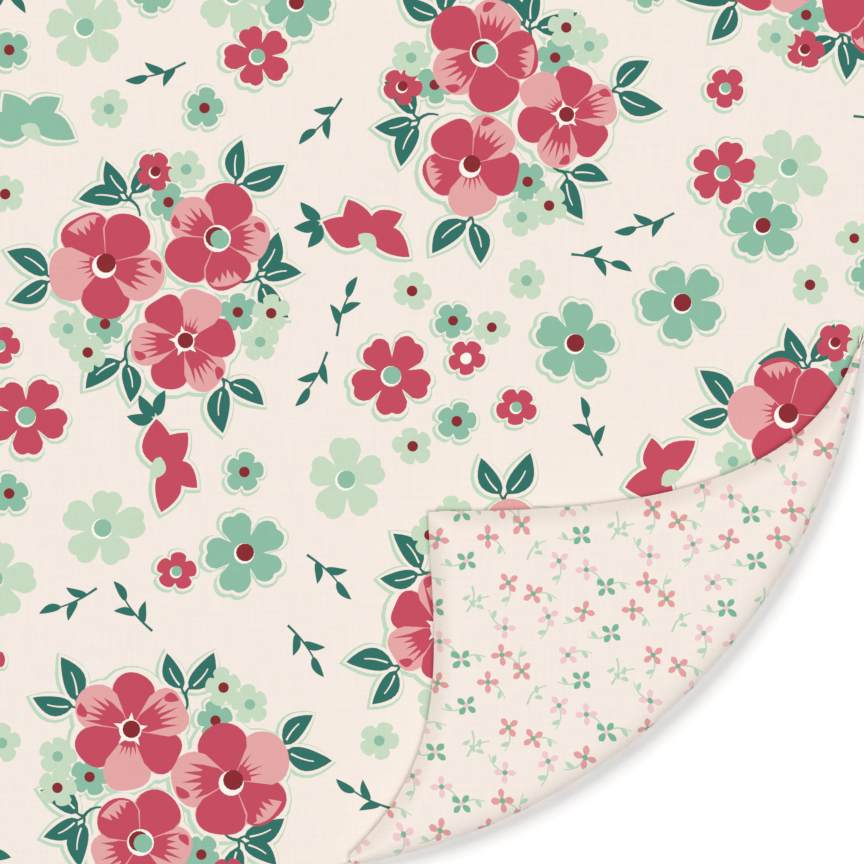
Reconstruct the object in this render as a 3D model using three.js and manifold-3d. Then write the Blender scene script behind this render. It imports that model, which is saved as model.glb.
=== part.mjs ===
// Bolt of reversible cloth on a flat folded-card board, with its free end laid out flat.
// The free end's front right corner is turned back in a soft fold, and its tip lifts.
// Millimetres. +X runs along the board, +Y points away from the free end, +Z is up.
import * as THREE from "three";
import Module from "manifold-3d";

const wasm = await Module();
wasm.setup();

// Driving dimensions
const GAP = 0.3; // between pieces that touch
const BOARD_LENGTH = 590;
const BOARD_WIDTH = 190;
const BOARD_THICKNESS = 14;
const CARD = 3; // one wall of corrugated card
const RIB_SPACING = 64; // between the two stiffening ribs
const CLOTH_WIDTH = 559;
const PLY = 0.8; // one ply, with the air it holds
const PACK_HEIGHT = 60; // the wound cloth, under the last turn
const FREE_LENGTH = 345; // flat cloth in front of the bolt
const LEAVING_ANGLE = THREE.MathUtils.degToRad(60); // how far round the edge the last turn stays
const LABEL_THICKNESS = 0.4;
const LABEL_LENGTH = 150;
const LABEL_WING = 12; // how far the label laps onto the board
const FOLD_RADIUS = 218; // plan radius of the turned corner's soft fold
const FOLD_REACH = 5; // how far the roll of the fold stands out from the flat cloth
const FOLD_START = THREE.MathUtils.degToRad(15.5); // ends of the roll, round its plan arc
const FOLD_END = THREE.MathUtils.degToRad(74);
const NOTCH = THREE.MathUtils.degToRad(0.6); // room at each end of the roll
const FLAP_CROWN = 6.5; // how high the flap is puffed over its edges
const FLAP_EDGE = 14; // width over which the flap comes down to the cloth
const TIP_REACH = 58; // from the corner tip back to its bending line
const ARC_STEPS = 24;

// Worked out from them
const packDepth = (PACK_HEIGHT - BOARD_THICKNESS) / 2 - GAP;
const boardZ = PACK_HEIGHT / 2;
const hollow = { width: BOARD_WIDTH + 2 * GAP, height: BOARD_THICKNESS + 2 * GAP };
const edgeRadius = packDepth + GAP; // underside of the last turn round the board's top edge
const edgeZ = boardZ + hollow.height / 2;
const slopeRadius = (edgeZ + edgeRadius * Math.cos(LEAVING_ANGLE)) / (1 - Math.cos(LEAVING_ANGLE));
const slopeLength = (edgeRadius + slopeRadius) * Math.sin(LEAVING_ANGLE);
const wholeLength = packDepth + hollow.width + slopeLength + FREE_LENGTH;
const frontY = -wholeLength / 2;
const footY = frontY + FREE_LENGTH;
const boardY = footY + slopeLength + hollow.width / 2;
const rightX = CLOTH_WIDTH / 2;
const plyStep = PLY + GAP;
const stack = 2 * PLY + GAP; // both plies of the cloth
const middle = stack / 2; // between the plies
const flapRest = stack + GAP + middle; // middle of the flap where it lies on the cloth
const labelStand = GAP + LABEL_THICKNESS;

const card = new THREE.MeshStandardMaterial({ color: 0xb48c62, roughness: 0.9 });
const paper = new THREE.MeshStandardMaterial({ color: 0xf1efe8, roughness: 0.7 });
const facePrint = new THREE.MeshStandardMaterial({ color: 0xf1e7de, roughness: 0.95 });
const backPrint = new THREE.MeshStandardMaterial({ color: 0xeed7cf, roughness: 0.95 });
const rolled = new THREE.MeshStandardMaterial({ color: 0xe9dccf, roughness: 0.95 });

const bolt = new THREE.Group();
bolt.position.x = -labelStand / 2;

function add(name, geometry, material, x = 0, y = 0, z = 0) {
  const mesh = new THREE.Mesh(geometry, material);
  mesh.name = name;
  mesh.position.set(x, y, z);
  bolt.add(mesh);
  return mesh;
}

// Turns a piece drawn in its own X and Y so that it stands in the bolt's Y and Z.
const alongBoard = new THREE.Matrix4().makeBasis(
  new THREE.Vector3(0, 1, 0),
  new THREE.Vector3(0, 0, 1),
  new THREE.Vector3(1, 0, 0),
);

function addAlongBoard(name, section, length, material, x, y, z) {
  const geometry = new THREE.ExtrudeGeometry(section, { depth: length, bevelEnabled: false });
  const mesh = add(name, geometry, material, x, y, z);
  mesh.setRotationFromMatrix(alongBoard);
  return mesh;
}

function arc(centre, radius, from, to, steps = ARC_STEPS) {
  return Array.from({ length: steps + 1 }, (_, i) => {
    const angle = from + ((to - from) * i) / steps;
    return new THREE.Vector2(
      centre.x + radius * Math.cos(angle),
      centre.y + radius * Math.sin(angle),
    );
  });
}

function roundedBox(width, height, radius) {
  const x = width / 2 - radius;
  const y = height / 2 - radius;
  const turn = Math.PI / 2;
  const corners = [new THREE.Vector2(x, y), new THREE.Vector2(-x, y)];
  corners.push(new THREE.Vector2(-x, -y), new THREE.Vector2(x, -y));
  return corners.flatMap((corner, i) => arc(corner, radius, i * turn, (i + 1) * turn, 10));
}

// The board is one die-cut card blank folded into a slim box, with two ribs turned inwards.
function addBoard() {
  const inside = BOARD_THICKNESS - 2 * CARD - 2 * GAP;
  const panel = () => new THREE.BoxGeometry(BOARD_LENGTH, BOARD_WIDTH, CARD);
  const panelZ = BOARD_THICKNESS / 2 - CARD / 2;
  add("board_top_panel", panel(), card, 0, boardY, boardZ + panelZ);
  add("board_bottom_panel", panel(), card, 0, boardY, boardZ - panelZ);
  const wallY = BOARD_WIDTH / 2 - CARD / 2;
  const wall = () => new THREE.BoxGeometry(BOARD_LENGTH, CARD, inside);
  add("board_front_wall", wall(), card, 0, boardY - wallY, boardZ);
  add("board_back_wall", wall(), card, 0, boardY + wallY, boardZ);
  const flapX = BOARD_LENGTH / 2 - CARD / 2;
  const endFlap = () => new THREE.BoxGeometry(CARD, BOARD_WIDTH - 2 * (CARD + GAP), inside);
  add("board_left_end_flap", endFlap(), card, -flapX, boardY, boardZ);
  add("board_right_end_flap", endFlap(), card, flapX, boardY, boardZ);
  const rib = () => new THREE.BoxGeometry(BOARD_LENGTH - 2 * (CARD + GAP), CARD, inside);
  add("board_front_rib", rib(), card, 0, boardY - RIB_SPACING / 2, boardZ);
  add("board_back_rib", rib(), card, 0, boardY + RIB_SPACING / 2, boardZ);
}

// A paper label laps over the board's right end, onto its top and bottom.
function addLabel() {
  const endX = BOARD_LENGTH / 2;
  const halfInside = BOARD_THICKNESS / 2 + GAP;
  const halfOutside = halfInside + LABEL_THICKNESS;
  const section = new THREE.Shape([
    new THREE.Vector2(endX - LABEL_WING, -halfOutside),
    new THREE.Vector2(endX + labelStand, -halfOutside),
    new THREE.Vector2(endX + labelStand, halfOutside),
    new THREE.Vector2(endX - LABEL_WING, halfOutside),
    new THREE.Vector2(endX - LABEL_WING, halfInside),
    new THREE.Vector2(endX + GAP, halfInside),
    new THREE.Vector2(endX + GAP, -halfInside),
    new THREE.Vector2(endX - LABEL_WING, -halfInside),
  ]);
  const geometry = new THREE.ExtrudeGeometry(section, { depth: LABEL_LENGTH, bevelEnabled: false });
  const mesh = add("end_label", geometry, paper, 0, boardY + LABEL_LENGTH / 2, boardZ);
  mesh.rotation.x = Math.PI / 2;
}

// The turns under the last one, as one solid round the board.
function addWoundCloth() {
  const outer = roundedBox(
    hollow.width + 2 * packDepth,
    hollow.height + 2 * packDepth,
    packDepth,
  );
  const section = new THREE.Shape(outer);
  section.holes.push(new THREE.Path(roundedBox(hollow.width, hollow.height, GAP)));
  addAlongBoard("wound_cloth", section, CLOTH_WIDTH, rolled, -rightX, boardY, boardZ);
}

// Side view of the last turn: over the top, round the front edge, down a slope to the table.
function lastTurn(rise) {
  const edge = new THREE.Vector2(boardY - hollow.width / 2, edgeZ);
  const slope = new THREE.Vector2(footY, slopeRadius);
  const quarter = Math.PI / 2;
  const back = new THREE.Vector2(boardY + hollow.width / 2, edgeZ + edgeRadius + rise);
  return [
    back,
    ...arc(edge, edgeRadius + rise, quarter, quarter + LEAVING_ANGLE),
    ...arc(slope, slopeRadius - rise, LEAVING_ANGLE - quarter, -quarter),
  ];
}

function addRunOff(name, rise, material) {
  const section = new THREE.Shape([...lastTurn(rise), ...lastTurn(rise + PLY).reverse()]);
  addAlongBoard(name, section, CLOTH_WIDTH, material, -rightX, 0, 0);
}

const foldCentre = new THREE.Vector2(rightX - FOLD_RADIUS, frontY + FOLD_RADIUS);

function onFold(angle, radius = FOLD_RADIUS) {
  return new THREE.Vector2(
    foldCentre.x + radius * Math.cos(angle),
    foldCentre.y - radius * Math.sin(angle),
  );
}

// The flat cloth stops at the roll of the fold, and runs out to the fold's ends on either side.
function addFreeEnd(name, rise, material) {
  const quarter = Math.PI / 2;
  const end = footY - GAP;
  const outline = new THREE.Shape([
    new THREE.Vector2(-rightX, frontY),
    ...arc(foldCentre, FOLD_RADIUS, -quarter, -FOLD_END - NOTCH, 4),
    ...arc(foldCentre, FOLD_RADIUS - FOLD_REACH - GAP, -FOLD_END - NOTCH, -FOLD_START + NOTCH),
    ...arc(foldCentre, FOLD_RADIUS, -FOLD_START + NOTCH, 0, 4),
    new THREE.Vector2(rightX, end),
    new THREE.Vector2(-rightX, end),
  ]);
  const geometry = new THREE.ExtrudeGeometry(outline, { depth: PLY, bevelEnabled: false });
  add(name, geometry, material, 0, 0, rise);
}

// Free edges of the turned-back corner, from its tip to the ends of the fold.
const tip = new THREE.Vector2(rightX - 154.5, frontY + 126);
const sideEdge = new THREE.CubicBezierCurve(
  tip,
  new THREE.Vector2(rightX - 77, frontY + 125),
  new THREE.Vector2(rightX - 14, frontY + 136),
  new THREE.Vector2(rightX - 1.4, frontY + 191),
);
const frontEdge = new THREE.CubicBezierCurve(
  tip,
  new THREE.Vector2(rightX - 152, frontY + 74),
  new THREE.Vector2(rightX - 145, frontY + 39),
  new THREE.Vector2(rightX - 184.5, frontY + 3),
);
const SIDE_SHARE = 0.83; // how much of each free edge has a roll behind it
const FRONT_SHARE = 0.84;
const FOLD_MIDDLE = THREE.MathUtils.degToRad(47); // where the fold lies behind the tip

function distanceTo(points, at) {
  return Math.min(...points.map((p) => p.distanceTo(at)));
}

const sidePoints = sideEdge.getPoints(120);
const frontPoints = frontEdge.getPoints(120);

// Height of the flap's middle: low along both free edges, crowned inside them.
function flapHeight(at) {
  const side = distanceTo(sidePoints, at);
  const front = distanceTo(frontPoints, at);
  const near = (side * front) / Math.max(Math.hypot(side, front), 1e-6);
  return flapRest + FLAP_CROWN * Math.sin((Math.PI / 2) * Math.min(near / FLAP_EDGE, 1));
}

const FLAP_STEPS = 20; // on each side of the tip
const ROLL_STEPS = 8;
const TOP_STEPS = 10;

// One line across the flap: under the fold, round its roll, then over the top to a free edge.
function flapLine(step) {
  const toTip = step / FLAP_STEPS;
  const onSide = toTip <= 1;
  const share = onSide ? toTip : 2 - toTip;
  const curve = onSide ? sideEdge : frontEdge;
  const edge = curve.getPoint((onSide ? SIDE_SHARE : FRONT_SHARE) * (1 - share));
  const foldFrom = onSide ? FOLD_START : FOLD_END;
  const angle = foldFrom + (FOLD_MIDDLE - foldFrom) * share;
  const start = onFold(angle, FOLD_RADIUS - FOLD_REACH);
  const top = flapHeight(start);
  const line = [];
  for (let i = 0; i <= ROLL_STEPS; i += 1) {
    const turn = Math.PI * (i / ROLL_STEPS - 0.5);
    const place = onFold(angle, FOLD_RADIUS - FOLD_REACH * (1 - Math.cos(turn)));
    const height = (top + middle) / 2 + ((top - middle) / 2) * Math.sin(turn);
    line.push(new THREE.Vector3(place.x, place.y, height));
  }
  for (let i = 1; i <= TOP_STEPS; i += 1) {
    const place = start.clone().lerp(edge, i / TOP_STEPS);
    line.push(new THREE.Vector3(place.x, place.y, flapHeight(place)));
  }
  return line;
}

const flapGrid = Array.from({ length: 2 * FLAP_STEPS + 1 }, (_, step) => flapLine(step));

// Directions square to the flap, out of the fold.
const flapNormals = flapGrid.map((line, i) =>
  line.map((_, j) => {
    const ahead = flapGrid[Math.min(i + 1, flapGrid.length - 1)][j];
    const behind = flapGrid[Math.max(i - 1, 0)][j];
    const up = line[Math.min(j + 1, line.length - 1)];
    const down = line[Math.max(j - 1, 0)];
    const along = ahead.clone().sub(behind);
    const across = up.clone().sub(down);
    return across.cross(along).normalize();
  }),
);

// A ply of the flap: the grid moved out to two levels, closed round its rim.
function flapPly(inner, outer) {
  const rows = flapGrid.length;
  const columns = flapGrid[0].length;
  const positions = [];
  for (const level of [inner, outer]) {
    flapGrid.forEach((line, i) =>
      line.forEach((point, j) => {
        positions.push(...point.clone().addScaledVector(flapNormals[i][j], level).toArray());
      }),
    );
  }
  const at = (i, j, level) => level * rows * columns + i * columns + j;
  const faces = [];
  const quad = (a, b, c, d) => faces.push(a, c, b, a, d, c);
  for (let i = 0; i < rows - 1; i += 1) {
    for (let j = 0; j < columns - 1; j += 1) {
      quad(at(i, j, 1), at(i + 1, j, 1), at(i + 1, j + 1, 1), at(i, j + 1, 1));
      quad(at(i, j, 0), at(i, j + 1, 0), at(i + 1, j + 1, 0), at(i + 1, j, 0));
    }
  }
  const last = { row: rows - 1, column: columns - 1 };
  for (let i = 0; i < rows - 1; i += 1) {
    quad(at(i, 0, 0), at(i + 1, 0, 0), at(i + 1, 0, 1), at(i, 0, 1));
    const j = last.column;
    quad(at(i + 1, j, 0), at(i, j, 0), at(i, j, 1), at(i + 1, j, 1));
  }
  for (let j = 0; j < columns - 1; j += 1) {
    quad(at(0, j + 1, 0), at(0, j, 0), at(0, j, 1), at(0, j + 1, 1));
    quad(at(last.row, j, 0), at(last.row, j + 1, 0), at(last.row, j + 1, 1), at(last.row, j, 1));
  }
  const mesh = new wasm.Mesh({
    numProp: 3,
    vertProperties: new Float32Array(positions),
    triVerts: new Uint32Array(faces),
  });
  return new wasm.Manifold(mesh);
}

function geometryOf(solid) {
  const mesh = solid.getMesh();
  const geometry = new THREE.BufferGeometry();
  geometry.setAttribute("position", new THREE.BufferAttribute(mesh.vertProperties, 3));
  geometry.setIndex(new THREE.BufferAttribute(mesh.triVerts, 1));
  geometry.computeVertexNormals();
  return geometry;
}

// The bending line crosses the flap square to the way the tip lifts, in plan.
const towardTip = new THREE.Vector3(-1, 1, 0).normalize();
const bendAt = new THREE.Vector3(tip.x, tip.y, 0).dot(towardTip) - TIP_REACH;

function addTurnedCorner(ply, inner, outer, material) {
  const whole = flapPly(inner, outer);
  const toTip = towardTip.toArray();
  const toFold = towardTip.clone().negate().toArray();
  const root = whole.trimByPlane(toFold, GAP / 2 - bendAt);
  const moving = whole.trimByPlane(toTip, bendAt + GAP / 2);
  add(`turned_corner_${ply}`, geometryOf(root), material);
  add(`corner_tip_${ply}`, geometryOf(moving), material);
}

addBoard();
addLabel();
addWoundCloth();
addRunOff("run_off_back_ply", 0, backPrint);
addRunOff("run_off_face_ply", plyStep, facePrint);
addFreeEnd("free_end_back_ply", 0, backPrint);
addFreeEnd("free_end_face_ply", plyStep, facePrint);
addTurnedCorner("face_ply", -GAP / 2 - PLY, -GAP / 2, facePrint);
addTurnedCorner("back_ply", GAP / 2, GAP / 2 + PLY, backPrint);

export default bolt;
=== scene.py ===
# %% [markdown]
# A bolt of reversible cloth: two printed cottons joined back to back, wound on a flat card board.
# Its free end is laid out flat, and the front right corner is turned back in a soft fold.
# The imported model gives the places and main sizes. This script makes what is seen.

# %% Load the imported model
import math
import random
import bpy
import numpy as np
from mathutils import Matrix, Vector
from mathutils.geometry import delaunay_2d_cdt


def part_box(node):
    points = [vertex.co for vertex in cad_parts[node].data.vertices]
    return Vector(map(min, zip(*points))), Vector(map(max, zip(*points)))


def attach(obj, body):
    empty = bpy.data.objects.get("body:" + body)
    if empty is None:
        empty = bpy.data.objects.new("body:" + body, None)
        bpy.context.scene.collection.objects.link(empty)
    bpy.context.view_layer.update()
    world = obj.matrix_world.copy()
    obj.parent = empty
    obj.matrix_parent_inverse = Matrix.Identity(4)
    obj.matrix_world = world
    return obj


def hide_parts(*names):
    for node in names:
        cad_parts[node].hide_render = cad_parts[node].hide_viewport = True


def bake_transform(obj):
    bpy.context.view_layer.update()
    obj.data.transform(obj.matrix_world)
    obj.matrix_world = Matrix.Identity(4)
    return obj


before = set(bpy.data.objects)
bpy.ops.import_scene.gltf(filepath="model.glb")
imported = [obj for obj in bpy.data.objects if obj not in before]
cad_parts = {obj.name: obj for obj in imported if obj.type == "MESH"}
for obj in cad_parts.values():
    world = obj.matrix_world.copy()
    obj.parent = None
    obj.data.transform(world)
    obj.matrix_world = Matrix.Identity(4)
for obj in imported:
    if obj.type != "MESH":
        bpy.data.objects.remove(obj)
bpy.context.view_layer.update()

MM = 0.001

# %% [markdown]
# The model's own pieces say where the cloth lies.
# Everything below is drawn in millimetres, because cloth and prints are planned that way.
# Lengths turn into metres only when a mesh is made.

# %% Places taken from the model
def box_mm(node):
    low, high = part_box(node)
    return np.array(low) / MM, np.array(high) / MM


def make_piece(name, points, faces, material):
    """An object in the scene from points in millimetres."""
    mesh = bpy.data.meshes.new(name)
    mesh.from_pydata((np.array(points) * MM).tolist(), [], faces)
    mesh.materials.append(material)
    piece = bpy.data.objects.new(name, mesh)
    bpy.context.scene.collection.objects.link(piece)
    return piece, mesh


def plain_material(name, roughness, shine):
    material = bpy.data.materials.new(name)
    material.use_nodes = True
    shader = material.node_tree.nodes["Principled BSDF"]
    shader.inputs["Roughness"].default_value = roughness
    shader.inputs["Specular IOR Level"].default_value = shine
    return material, material.node_tree, shader


flat_low = box_mm("free_end_back_ply")[0]
flat_top = box_mm("free_end_face_ply")[1][2]
pack_low, pack_high = box_mm("wound_cloth")
run_low, run_high = box_mm("run_off_face_ply")
board_low, board_high = box_mm("board_bottom_panel")[0], box_mm("board_top_panel")[1]
LEFT, RIGHT = run_low[0], run_high[0]
FRONT = flat_low[1]
FOOT = run_low[1]  # where the flat end begins to climb
print("cloth is", round(RIGHT - LEFT), "mm wide, flat for", round(FOOT - FRONT), "mm")

# %% [markdown]
# The camera looks straight down on a twelve inch square at the turned corner.
# A long lens keeps the low folds from leaning outwards, much as a flat scan would.
# A broad soft sun from the upper left gives the corner its shadow.
# A second one, from the lower right, evens the light, so slopes that face the window stay quiet.
# A white sky fills the shadows in.
# The standard view transform is used, so the dyes come out as they were mixed.

# %% Camera, light and floor
SQUARE = 304.8
LENS = 200
VIEW_LEFT = RIGHT - SQUARE - 1.4
VIEW_FRONT = FRONT + 2.1


def make_camera():
    data = bpy.data.cameras.new("camera")
    data.lens = LENS
    data.clip_end = 50
    camera = bpy.data.objects.new("camera", data)
    distance = SQUARE * LENS / data.sensor_width
    middle = (VIEW_LEFT + SQUARE / 2, VIEW_FRONT + SQUARE / 2, flat_top + distance)
    camera.location = Vector(middle) * MM
    bpy.context.scene.collection.objects.link(camera)
    bpy.context.scene.camera = camera
    print("camera is", round(distance), "mm above the cloth")


def make_sun(name, towards, energy, angle):
    data = bpy.data.lights.new(name, "SUN")
    data.energy = energy
    data.angle = math.radians(angle)
    sun = bpy.data.objects.new(name, data)
    sun.rotation_euler = Vector(towards).to_track_quat("-Z", "Y").to_euler()
    bpy.context.scene.collection.objects.link(sun)


def make_light():
    make_sun("window", (0.6, -0.6, -1.0), energy=1.55, angle=30)
    make_sun("room", (-0.35, 0.35, -1.0), energy=1.34, angle=40)
    world = bpy.data.worlds.new("white room")
    world.use_nodes = True
    sky = world.node_tree.nodes["Background"]
    sky.inputs["Color"].default_value = (1, 1, 1, 1)
    sky.inputs["Strength"].default_value = 0.27
    bpy.context.scene.world = world


def make_floor():
    reach = 6000
    below = 0.4  # the underside of the cloth must not share the floor's plane
    paint, _, shader = plain_material("white floor", 0.9, 0.1)
    shader.inputs["Base Color"].default_value = (0.97, 0.97, 0.97, 1)
    corners = [(-reach, -reach, 0), (reach, -reach, 0), (reach, reach, 0), (-reach, reach, 0)]
    floor, _ = make_piece("floor", corners, [(0, 1, 2, 3)], paint)
    floor.location.z = -below * MM


make_camera()
make_light()
make_floor()
bpy.context.scene.view_settings.view_transform = "Standard"

# %% [markdown]
# The dyes. A screen print uses a handful of flat inks, so each one is mixed once, by name.
# They are kept as everyday screen colours and turned to linear light for the shader.

# %% Inks
INKS = {
    "cream": (243, 233, 224),
    "white": (250, 244, 237),
    "crimson": (197, 74, 95),
    "blush": (228, 165, 165),
    "wine": (138, 40, 47),
    "mint": (138, 189, 163),
    "pale": (198, 218, 193),
    "echo": (189, 217, 191),
    "leaf": (46, 113, 101),
    "fern": (120, 182, 150),
    "coral": (229, 158, 158),
    "petal pink": (239, 200, 204),
    "stem": (184, 214, 187),
    "paper": (247, 245, 239),
    "rule": (172, 176, 172),
}
INK_NAMES = list(INKS)


def linear(screen):
    share = np.array(screen, float) / 255
    return np.where(share <= 0.04045, share / 12.92, ((share + 0.055) / 1.055) ** 2.4)


ink_light = np.array([[*linear(INKS[name]), 1.0] for name in INK_NAMES])
print(len(INK_NAMES), "inks")

# %% [markdown]
# A print is drawn as a painter works: shape over shape, the last one on top.
# Each shape is a closed outline with an ink and a layer, and outlines come from short formulas:
# an arc, a blade with a pointed tip, a flower with lobes.
# Drawn outlines stay sharp at any size, which a painted picture would not.

# %% Outlines
def ring_of(centre, radii, angles):
    """Points round a centre, each at its own distance."""
    return np.array(centre) + (np.array(radii) * np.stack([np.cos(angles), np.sin(angles)])).T


def disc(centre, radius, points=14):
    return ring_of(centre, radius, np.arange(points) * 2 * math.pi / points)


def polar(x, y, heading, distance):
    """The point at a distance from (x, y), in the direction of a heading in degrees."""
    angle = math.radians(heading)
    return np.array([x + distance * math.cos(angle), y + distance * math.sin(angle)])


def turned(points, angle):
    c, s = math.cos(math.radians(angle)), math.sin(math.radians(angle))
    return np.array(points) @ np.array([[c, s], [-s, c]])


def lobed(centre, radius, lobes, turn, valley=0.5, notch=0.06, points=12):
    """A flower of round lobes, each with a small dent in its tip."""
    angles = np.arange(lobes * points) * 2 * math.pi / (lobes * points)
    across = (angles * lobes / math.pi) % 2 - 1
    reach = valley + (1 - valley) * (1 - np.abs(across) ** 2.6) ** 0.55
    reach -= notch * np.exp(-((across / 0.16) ** 2))
    wobble = 1 + 0.05 * np.sin(2 * angles + turn) + 0.03 * np.sin(3 * angles + 2 * turn)
    return ring_of(centre, radius * reach * wobble, angles + math.radians(turn))


def bow(start, end, bend, points=7):
    """Points along a line from start to end that bows to one side."""
    start, end = np.array(start, float), np.array(end, float)
    way = end - start
    along = np.linspace(0, 1, points)
    side = np.array([-way[1], way[0]])
    return start + np.outer(along, way) + np.outer(bend * np.sin(math.pi * along), side)


def blade(base, tip, width, bend=0.12, points=8, fullness=0.8, roundness=0.85):
    """A leaf or petal from its base to its tip, bent to one side."""
    way = np.array(tip, float) - base
    along = np.linspace(0, 1, points + 1)
    spine = bow(base, tip, bend, points + 1)
    half = 0.5 * width * np.sin(math.pi * along**fullness) ** roundness
    across = np.outer(half, np.array([-way[1], way[0]]) / np.hypot(*way))
    return np.concatenate([spine + across, (spine - across)[-2:0:-1]])


def stroke(points, width):
    """A brush line through a few points, thinner at its end."""
    points = np.array(points, float)
    way = np.gradient(points, axis=0)
    side = np.stack([-way[:, 1], way[:, 0]], 1) / np.hypot(way[:, 0], way[:, 1])[:, None]
    half = 0.5 * width * np.linspace(1, 0.55, len(points))[:, None]
    return np.concatenate([points + half * side, (points - half * side)[::-1]])


def grown(outline, amount, shift=(0, 0)):
    """The same outline, a little larger all round."""
    middle = outline.mean(0)
    away = outline - middle
    return outline + amount * away / np.maximum(np.hypot(away[:, 0], away[:, 1]), 1e-6)[:, None] + shift


# %% [markdown]
# The face print's motifs. Each one lays its shapes on the sheet in a fixed order of layers:
# first a fine pale-green echo line, then stems, leaves, small flowers, blossoms and roses.
# The echo is a grown copy of the outline, shifted a little, with a smaller cream copy over it,
# so the line swells on one side and fades on the other like a pen stroke.
# Most numbers inside a motif are shares of its own radius or length.

# %% Small motifs of the face print
ECHO, CLEAR, STEM, LEAF, MINI, BLOSSOM, ROSE = range(7)
face_print = []


def facing_up(ring):
    """The ring in anticlockwise order, which is how the cutting step tells inside from outside."""
    ring = np.asarray(ring, float)
    x, y = ring[:, 0], ring[:, 1]
    return ring if np.dot(x, np.roll(y, -1)) > np.dot(y, np.roll(x, -1)) else ring[::-1]


def lay(sheet, layer, ink, outline):
    """Put one inked shape on a sheet."""
    sheet.append((layer, INK_NAMES.index(ink), facing_up(outline)))


def paint(layer, ink, outline):
    lay(face_print, layer, ink, outline)


def echo(outline, out=2.3, line=0.95, shift=(-0.45, -0.35)):
    paint(ECHO, "echo", grown(outline, out, shift))
    paint(CLEAR, "cream", grown(outline, out - line))


def eye(centre, radius, ink, layer, shift=(-0.35, -0.35)):
    """A flower's middle, with a sliver of white beside it."""
    paint(layer, "white", disc(np.array(centre) + shift, radius * 1.15))
    paint(layer, ink, disc(centre, radius))


def mini(x, y, ink, heart, radius=6.8, turn=90, echoed=False):
    outline = lobed((x, y), radius, 5, turn, valley=0.66, notch=0, points=8)
    if echoed:
        echo(outline, out=1.7, line=0.7)
    paint(MINI, ink, outline)
    if ink == "crimson":
        eye((x, y), radius * 0.27, heart, MINI, shift=(-0.3, -0.4))
    else:
        paint(MINI, heart, disc((x, y), radius * 0.28, 12))


def blossom(x, y, radius, ink, heart, turn, echoed=True):
    outline = lobed((x, y), radius, 5, turn, valley=0.42, notch=0.08)
    if echoed:
        echo(outline)
    paint(BLOSSOM, ink, outline)
    eye((x, y), radius * 0.22, heart, BLOSSOM)


def leaf(base, tip, wide, bend):
    outline = blade(base, tip, wide * math.dist(base, tip), bend)
    echo(outline, out=2.1, line=0.8)
    paint(LEAF, "leaf", outline)
    vein = bow(base, tip, bend, 9)[:6]
    paint(LEAF, "cream", stroke(vein, 0.75)[1:-1])


def sprig(base, tip, side):
    """A fine stem that ends in a leaf, with a smaller leaf to either side."""
    spine = bow(base, tip, 0.06, 11)
    paint(STEM, "leaf", stroke(spine[:9], 0.95))
    way = np.array(tip, float) - base
    long = 0.42 * np.hypot(*way)
    end = spine[7] + (spine[8] - spine[6]) * long / math.dist(spine[8], spine[6])
    paint(LEAF, "leaf", blade(spine[7], end, 0.36 * long, 0.08 * side))
    for hand, root in ((side, spine[2]), (-side, spine[4])):
        out = turned([way / np.hypot(*way)], hand * 42)[0] * long * 0.95
        paint(LEAF, "leaf", blade(root, root + out, 0.34 * long, -0.1 * hand))


def bud(x, y, size, ink, turn):
    """A half-open flower seen from the side: pointed petals, a pale calyx, a few small leaves."""
    petals = [((0.05, 0.02), (-0.17, 0.5), 0.27), ((0.02, 0.02), (0.4, 0.52), 0.3)]
    petals += [((0.08, 0.08), (-0.45, -0.18), 0.34), ((0.02, 0.1), (-0.2, -0.55), 0.36)]

    def at(point):
        return (x, y) + turned([np.array(point) * size], turn)[0]

    for root, tip, wide in petals:
        outline = blade(at(root), at(tip), wide * size * 1.15, 0.1, 9, fullness=0.9)
        echo(outline, out=2.0)
        paint(BLOSSOM, ink, outline)
    paint(BLOSSOM, "pale", blade(at((0.02, -0.1)), at((0.3, 0.08)), 0.2 * size))
    foot = at((-0.2, -0.54))
    for spread in (-48, 4, 52):
        way = turned([(0, -0.36 * size)], turn + spread)[0]
        paint(LEAF, "leaf", blade(foot + way * 0.12, foot + way * 1.1, 0.16 * size, 0.08))


# %% [markdown]
# The roses are the big flowers: broad overlapping petals in two tones.
# A streaked petal is blush with crimson tongues running out from the heart,
# a tipped one is crimson with a jagged blush rim, and a pale one has only a few fine strokes.
# A thin blush seam under each petal's sides keeps neighbouring crimson petals apart.

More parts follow.
